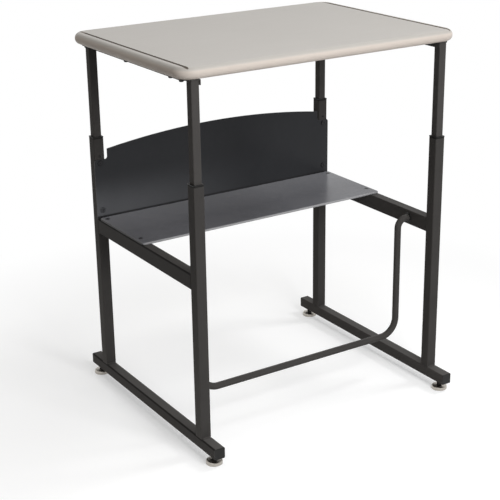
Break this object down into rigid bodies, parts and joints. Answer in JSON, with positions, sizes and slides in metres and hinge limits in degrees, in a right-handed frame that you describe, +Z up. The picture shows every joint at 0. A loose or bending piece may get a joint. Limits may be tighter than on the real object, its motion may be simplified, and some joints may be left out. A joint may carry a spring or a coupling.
{
  "type": "height-adjustable desk",
  "caption": "Height-adjustable standing desk: bullnosed top on telescoping square-tube legs, a sheet-steel shelf with an arched back panel, levelling glides and a swinging footrest bar.",
  "frame": {"origin": "on the floor, midway between the feet and midway along their length", "axes": "+X to the user's right along the width, +Y from the user towards the back panel, +Z up"},
  "size_m": [0.7112, 0.5934, 0.8636],
  "materials": {
    "laminate_top": "satin laminate on a wood core",
    "frame_paint": "fine-textured black powder coat",
    "sheet_paint": "smooth semi-gloss black paint",
    "black_plastic": "matte moulded",
    "black_screw": "black oxide",
    "zinc_steel": "zinc plated",
    "nickel": "satin nickel plate",
    "nylon_pad": "natural nylon"
  },
  "bodies": {
    "base_frame": {"shelf": "sheet_paint", "back_panel": "sheet_paint", "shelf_screws": "black_screw", "panel_screws": "black_screw", "glide_nuts": "zinc_steel", "foot_left": "frame_paint", "side_rail_left": "frame_paint", "footrest_bush_left": "black_plastic", "foot_right": "frame_paint", "side_rail_right": "frame_paint", "footrest_bush_right": "black_plastic", "lower_leg_front_left": "frame_paint", "leg_collar_front_left": "black_plastic", "foot_cap_front_left": "black_plastic", "lock_screw_front_left": "black_screw", "lower_leg_rear_left": "frame_paint", "leg_collar_rear_left": "black_plastic", "foot_cap_rear_left": "black_plastic", "lock_screw_rear_left": "black_screw", "lower_leg_front_right": "frame_paint", "leg_collar_front_right": "black_plastic", "foot_cap_front_right": "black_plastic", "lock_screw_front_right": "black_screw", "lower_leg_rear_right": "frame_paint", "leg_collar_rear_right": "black_plastic", "foot_cap_rear_right": "black_plastic", "lock_screw_rear_right": "black_screw"},
    "upper_frame": {"desktop": "laminate_top", "top_screws": "black_screw", "top_bracket_left": "frame_paint", "top_bracket_right": "frame_paint", "upper_leg_front_left": "frame_paint", "upper_leg_rear_left": "frame_paint", "upper_leg_front_right": "frame_paint", "upper_leg_rear_right": "frame_paint", "leg_slider_front_left": "black_plastic", "leg_slider_rear_left": "black_plastic", "leg_slider_front_right": "black_plastic", "leg_slider_rear_right": "black_plastic"},
    "footrest": {"footrest_bar": "frame_paint"},
    "glide_front_left": {"glide_cup_front_left": "nickel", "glide_pad_front_left": "nylon_pad", "glide_stem_front_left": "black_screw"},
    "glide_rear_left": {"glide_cup_rear_left": "nickel", "glide_pad_rear_left": "nylon_pad", "glide_stem_rear_left": "black_screw"},
    "glide_front_right": {"glide_cup_front_right": "nickel", "glide_pad_front_right": "nylon_pad", "glide_stem_front_right": "black_screw"},
    "glide_rear_right": {"glide_cup_rear_right": "nickel", "glide_pad_rear_right": "nylon_pad", "glide_stem_rear_right": "black_screw"}
  },
  "joints": [
    {"name": "height_slide", "type": "slide", "parent": "base_frame", "child": "upper_frame", "axis": [0, 0, 1], "range_m": [-0.2032, 0.2032]},
    {"name": "footrest_swing", "type": "hinge", "parent": "base_frame", "child": "footrest", "pos_m": [0, -0.151, 0.4065], "axis": [1, 0, 0], "range_deg": [-80, 80]},
    {"name": "glide_screw_front_left", "type": "slide", "parent": "base_frame", "child": "glide_front_left", "axis": [0, 0, 1], "range_m": [-0.01, 0.004]},
    {"name": "glide_screw_rear_left", "type": "slide", "parent": "base_frame", "child": "glide_rear_left", "axis": [0, 0, 1], "range_m": [-0.01, 0.004]},
    {"name": "glide_screw_front_right", "type": "slide", "parent": "base_frame", "child": "glide_front_right", "axis": [0, 0, 1], "range_m": [-0.01, 0.004]},
    {"name": "glide_screw_rear_right", "type": "slide", "parent": "base_frame", "child": "glide_rear_right", "axis": [0, 0, 1], "range_m": [-0.01, 0.004]}
  ]
}
